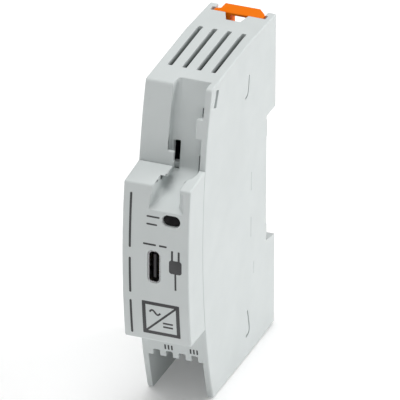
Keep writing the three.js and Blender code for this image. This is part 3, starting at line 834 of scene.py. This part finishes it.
def coil(radius, wire, low, high, turns, x, y, sides=10, per_turn=28):
    """A compression spring with closed end turns; wire is half the wire's thickness."""
    points, faces = [], []
    steps = turns * per_turn
    for i in range(steps + 1):
        t = i / steps
        angle = 2 * math.pi * turns * t
        end_turn = 1 / turns
        active = min(max((t - end_turn) / (1 - 2 * end_turn), 0), 1)
        z = low + wire + 2 * wire * min(t / end_turn, 1) + 2 * wire * max((t - 1 + end_turn) / end_turn, 0)
        z += active * (high - low - 6 * wire)
        centre = Vector((x + radius * math.cos(angle), y + radius * math.sin(angle), z))
        out = Vector((math.cos(angle), math.sin(angle), 0))
        for j in range(sides):
            around = 2 * math.pi * j / sides
            points.append(centre + out * wire * math.cos(around) + Vector((0, 0, wire * math.sin(around))))
    for i in range(steps):
        for j in range(sides):
            k = (j + 1) % sides
            faces.append([i * sides + j, i * sides + k, (i + 1) * sides + k, (i + 1) * sides + j])
    faces.append(list(range(sides)))
    faces.append([steps * sides + j for j in reversed(range(sides))])
    return from_faces("coil", points, faces)


def latch_spring():
    low, high = box_mm("latch_spring")
    wire, turns = 0.25, 8
    radius = (high.x - low.x) / 2 - wire
    spring = coil(radius, wire, low.z, high.z, turns, 0, (low.y + high.y) / 2)
    finish_piece("spring_latch", spring, SPRING_STEEL, "housing", "spring_steel", "latch_spring", smooth=60)
    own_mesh(spring)


# ---- indicator and socket ------------------------------------------------------------------------
def led_lens():
    low, high = box_mm("led_lens")
    face = rounded(low.x, high.x, low.z, high.z, (high.z - low.z) / 2 - 0.01, 12)
    lens = prism(face, "y", low.y + LENS_SETBACK, -26.4)
    soften(lens, lambda m: 0.3 if m.y < -28 else 0.05, 4, 40)
    light_pipe = block(2.9, 5.3, -27, low.y + 5, 57.2, 59.6)
    join(lens, light_pipe)
    finish_piece("lens_indicator", lens, SMOKED, "housing", "smoked_lens", "led_lens")


def usb_shell():
    low, high = box_mm("usb_shell")
    sheet = SOCKET_SHEET
    outer = rounded(low.x, high.x, low.z, high.z, SOCKET_CORNER, 12)
    inner = rounded(low.x + sheet, high.x - sheet, low.z + sheet, high.z - sheet, SOCKET_CORNER - sheet, 12)
    shell = cut(prism(outer, "y", low.y + 0.1, high.y), prism(inner, "y", -40, -20))
    soften(shell, 0.11, 3, 40)
    finish_piece("socket_shell", shell, SHELL_STEEL, "housing", "steel_shell", "usb_shell")


def usb_tongue():
    low, high = box_mm("usb_tongue")
    shell_low, shell_high = box_mm("usb_shell")
    x = (shell_low.x + shell_high.x) / 2
    z = (shell_low.z + shell_high.z) / 2
    half_thick, half_long = 0.35, 3.3
    outline = rounded(x - half_thick, x + half_thick, z - half_long, z + half_long, 0.15)
    tongue = prism(outline, "y", low.y, -24)
    back = prism(obround(x, z, high.x - low.x, high.z - low.z), "y", -24.4, high.y)
    join(tongue, back)
    soften(tongue, 0.06, 2, 40)
    finish_piece("socket_tongue", tongue, BLACK, "housing", "black_plastic", "usb_tongue")
    pitch, half_width, proud = 0.5, 0.13, 0.02
    contacts = []
    for side in (-1, 1):
        face = x + side * half_thick
        for i in range(12):
            height = z - 2.75 + pitch * i
            low_edge, high_edge = height - half_width, height + half_width
            contacts.append(block(face - proud, face + proud, low.y + 1.6, -24.6, low_edge, high_edge))
    finish_piece("socket_contacts", merge(contacts), GOLD, "housing", "copper")


# ---- printed marks -------------------------------------------------------------------------------
INK = 0.025  # how far the ink stands out of the surface


def printed(outline, step):
    """A thin layer of ink with this (x, z) outline, on the curved face that lies step before the walls."""
    mesh = bpy.data.meshes.new("ink")
    shape = bmesh.new()
    shape.faces.new([shape.verts.new((x, 0, z)) for x, z in outline])
    row_height = 0.6
    for i in range(1, 120):
        everything = shape.verts[:] + shape.edges[:] + shape.faces[:]
        bmesh.ops.bisect_plane(shape, geom=everything, plane_co=(0, 0, i * row_height), plane_no=(0, 0, 1))
    for vert in shape.verts:
        vert.co.y = front_y(vert.co.z, step) - INK
    made = bmesh.ops.extrude_face_region(shape, geom=shape.faces[:])
    for item in made["geom"]:
        if isinstance(item, bmesh.types.BMVert):
            item.co.y += INK + 0.03
    bmesh.ops.recalc_face_normals(shape, faces=shape.faces)
    shape.to_mesh(mesh)
    shape.free()
    return add_object("ink", mesh)


def frame_mark(x0, x1, z0, z1, line, radius):
    """Four strokes that make a square frame."""
    yield rounded(x0, x1, z1 - line, z1, radius, 3)
    yield rounded(x0, x1, z0, z0 + line, radius, 3)
    yield rounded(x0, x0 + line, z0 + line * 0.8, z1 - line * 0.8, 0.01, 1)
    yield rounded(x1 - line, x1, z0 + line * 0.8, z1 - line * 0.8, 0.01, 1)


def converter_mark(x0, x1, z0, z1):
    """The plain sign for a converter: a square with a diagonal, a wave above it and two bars below it."""
    line = 0.95
    yield from frame_mark(x0, x1, z0, z1, line, 0.2)
    yield stroke([(x0 + 0.7, z0 + 0.7), (x1 - 0.7, z1 - 0.7)], 0.55)
    wave = []
    for i in range(15):
        t = i / 14
        wave.append((x0 + 2.0 + 2.9 * t, z1 - 3.1 + 0.65 * math.sin(2 * math.pi * t)))
    yield stroke(wave, 0.5)
    for z in (z0 + 2.5, z0 + 3.6):
        yield rounded(x1 - 4.6, x1 - 1.9, z, z + 0.5, 0.05, 1)


def plug_mark(x, low, high):
    """A plain plug: a body with a cord below it and two pins above it."""
    body_low = low + (high - low) * 0.42
    body_high = low + (high - low) * 0.76
    yield rounded(x - 1.7, x + 1.7, body_low, body_high, 0.7, 5)
    yield rounded(x - 0.25, x + 0.25, low, body_low + 0.2, 0.05, 1)
    for side in (-1, 1):
        yield rounded(x + side * 0.9 - 0.27, x + side * 0.9 + 0.27, body_high - 0.2, high, 0.1, 2)


def printed_marks():
    upright_bars = ((24.2, 34.2), (36.4, 46.6), (49.4, 64.6))
    nose_lines = [rounded(-7.15, -6.55, low, high, 0.28, 4) for low, high in upright_bars]
    nose_lines += [
        rounded(-2.5, 1.0, 58.7, 59.15, 0.2, 3),
        rounded(-2.5, 0.4, 56.6, 57.05, 0.2, 3),
        rounded(-3.3, 0.2, 50.95, 51.45, 0.2, 3),
        rounded(1.0, 3.1, 50.95, 51.45, 0.2, 3),
        *plug_mark(5.45, 39.2, 50.4),
        *converter_mark(-3.8, 6.3, 24.8, 34.6),
    ]
    layers = [printed(outline, NOSE_STEP) for outline in nose_lines]
    for pole in (LIVE, NEUTRAL):
        for offset in (-0.9, 0, 0.9):
            x = POLES[pole] + offset
            bar = rounded(x - 0.22, x + 0.22, 14.0, 15.5, 0.1, 2)
            layers.append(printed(bar, 0))
    finish_piece("printed_marks", merge(layers), PRINT, "housing", "black_plastic", smooth=60)


# ---- mains terminals -----------------------------------------------------------------------------
def terminal_housing():
    body = block(-INNER + 0.3, INNER - 0.3, -14.6, 0.1, BAY_TOP_Z + 0.2, 26)
    wire_y, wire_radius = -10.6, 1.3
    angles = [i * math.pi / 12 for i in range(24)]
    for x in POLES:
        wire_hole = [(x + wire_radius * math.cos(a), wire_y + wire_radius * math.sin(a)) for a in angles]
        dummy_hole = block(x - 0.75, x + 0.75, -7.6, -5.2, 10, 18)
        cut(body, prism(wire_hole, "z", 10, 18), dummy_hole)
    for x in (POLES[LIVE], POLES[NEUTRAL]):
        clamp_room = block(x - 1.25, x + 1.25, -13.6, -3.6, 17.6, 30)
        pusher_hole = block(x - 1.15, x + 1.15, -7.7, -5.1, 10, 18)
        cut(body, clamp_room, pusher_hole)
    lower_front_corner = [(-16, 13), (-12, 13), (-16, 17)]
    cut(body, prism(lower_front_corner, "x", -9, 9))
    soften(body, 0.15, 2, 40)
    finish_piece("terminal_block", body, HOUSING, "housing", "housing", "terminal_housing")


def clamp_spring(letter, x):
    node = f"clamp_spring_{letter}"
    centre = [(-12, 24), (-6.05, 24.9), (-5.1, 24.7), (-4.8, 24.2), (-5.25, 22.3), (-11.45, 20.1)]
    thick, half_width = 0.3, 0.9
    strip = prism(stroke(centre, thick), "x", x - half_width, x + half_width)
    soften(strip, 0.06, 2, 40)
    finish_piece(f"spring_clamp_{letter}", strip, SPRING_STEEL, "housing", "spring_steel", node)
    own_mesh(strip)


def release_pusher(letter):
    node = f"release_pusher_{letter}"
    low, high = box_mm(node)
    button = block(low.x, high.x, low.y, high.y, low.z, low.z + 3)
    join(button, block(low.x + 0.25, high.x - 0.25, low.y + 0.3, high.y - 0.3, low.z + 2.8, high.z))
    middle = (low.y + high.y) / 2
    cut(button, block(low.x - 1, high.x + 1, middle - 0.25, middle + 0.25, 10, low.z + 0.4))
    soften(button, 0.12, 2, 40)
    finish_piece(f"pusher_{letter}_button", button, LATCH, f"pusher_{letter}", "latch", node)


# ---- studio --------------------------------------------------------------------------------------
def studio_floor():
    """A white floor, 80 m across, just below the object."""
    half, z = 40, -0.25 * MM
    corners = ((-half, -half), (half, -half), (half, half), (-half, half))
    floor = from_faces("floor", [(x, y, z) for x, y in corners], [[0, 1, 2, 3]])
    material = new_material(
        "floor_white", (0.95, 0.95, 0.95), 0.9,
        Specular_IOR_Level=0.1, Emission_Color=(1, 1, 1, 1), Emission_Strength=0.12,
    )
    floor.data.materials.append(material)


def area_light(name, place, target, size, watts):
    light = bpy.data.lights.new(name, "AREA")
    light.shape = "SQUARE"
    light.size = size
    light.energy = watts
    lamp = bpy.data.objects.new(name, light)
    lamp.location = place
    lamp.rotation_mode = "QUATERNION"
    lamp.rotation_quaternion = (Vector(target) - Vector(place)).to_track_quat("-Z", "Y")
    bpy.context.scene.collection.objects.link(lamp)


def studio_light():
    """Soft light from all around, a lighter backdrop for the camera alone, and three lamps."""
    world = bpy.data.worlds.new("studio")
    world.use_nodes = True
    background = world.node_tree.nodes["Background"]
    background.inputs["Color"].default_value = (1, 1, 1, 1)
    background.inputs["Strength"].default_value = 0.3
    nodes, links = world.node_tree.nodes, world.node_tree.links
    backdrop = nodes.new("ShaderNodeBackground")
    backdrop.inputs["Strength"].default_value = 0.6
    seen = nodes.new("ShaderNodeLightPath")
    mix = nodes.new("ShaderNodeMixShader")
    links.new(seen.outputs["Is Camera Ray"], mix.inputs[0])
    links.new(background.outputs[0], mix.inputs[1])
    links.new(backdrop.outputs[0], mix.inputs[2])
    links.new(mix.outputs[0], nodes["World Output"].inputs["Surface"])
    bpy.context.scene.world = world
    middle = (0, 0, 0.045)
    area_light("key", (1.5, 0.95, 0.85), middle, 0.9, 18.8)
    area_light("top", (-0.1, -0.1, 1.8), middle, 1.1, 21)
    area_light("front", (-0.2, -1.2, 1.6), middle, 1.0, 0.8)


def camera():
    """A long lens from the right and above, as catalogue pictures are taken."""
    azimuth, elevation, roll = (math.radians(a) for a in (21.206, 27.968, 0.239))
    distance = 3.0
    target = Vector((0.00001, 0.0005, 0.04881))
    back = Vector((
        math.sin(azimuth) * math.cos(elevation),
        -math.cos(azimuth) * math.cos(elevation),
        math.sin(elevation),
    ))
    right = (-back).cross(Vector((0, 0, 1))).normalized()
    up = right.cross(-back)
    turned_right = right * math.cos(roll) + up * math.sin(roll)
    turned_up = up * math.cos(roll) - right * math.sin(roll)
    data = bpy.data.cameras.new("camera")
    data.sensor_width = 36
    data.lens = 1065.45
    data.clip_start = 0.1
    data.clip_end = 200
    shot = bpy.data.objects.new("camera", data)
    shot.matrix_world = Matrix((
        (turned_right.x, turned_up.x, back.x, 0),
        (turned_right.y, turned_up.y, back.y, 0),
        (turned_right.z, turned_up.z, back.z, 0),
        (0, 0, 0, 1),
    ))
    shot.location = target + back * distance
    bpy.context.scene.collection.objects.link(shot)
    bpy.context.scene.camera = shot


# ---- the scene -----------------------------------------------------------------------------------
bpy.context.scene.view_settings.view_transform = "Standard"
camera()
studio_light()
studio_floor()
paint_cad_nodes()
housing_base()
front_cover()
base_latch()
latch_spring()
led_lens()
usb_shell()
usb_tongue()
printed_marks()
terminal_housing()
for letter, pole in (("l", LIVE), ("n", NEUTRAL)):
    clamp_spring(letter, POLES[pole])
    release_pusher(letter)

bpy.context.view_layer.update()
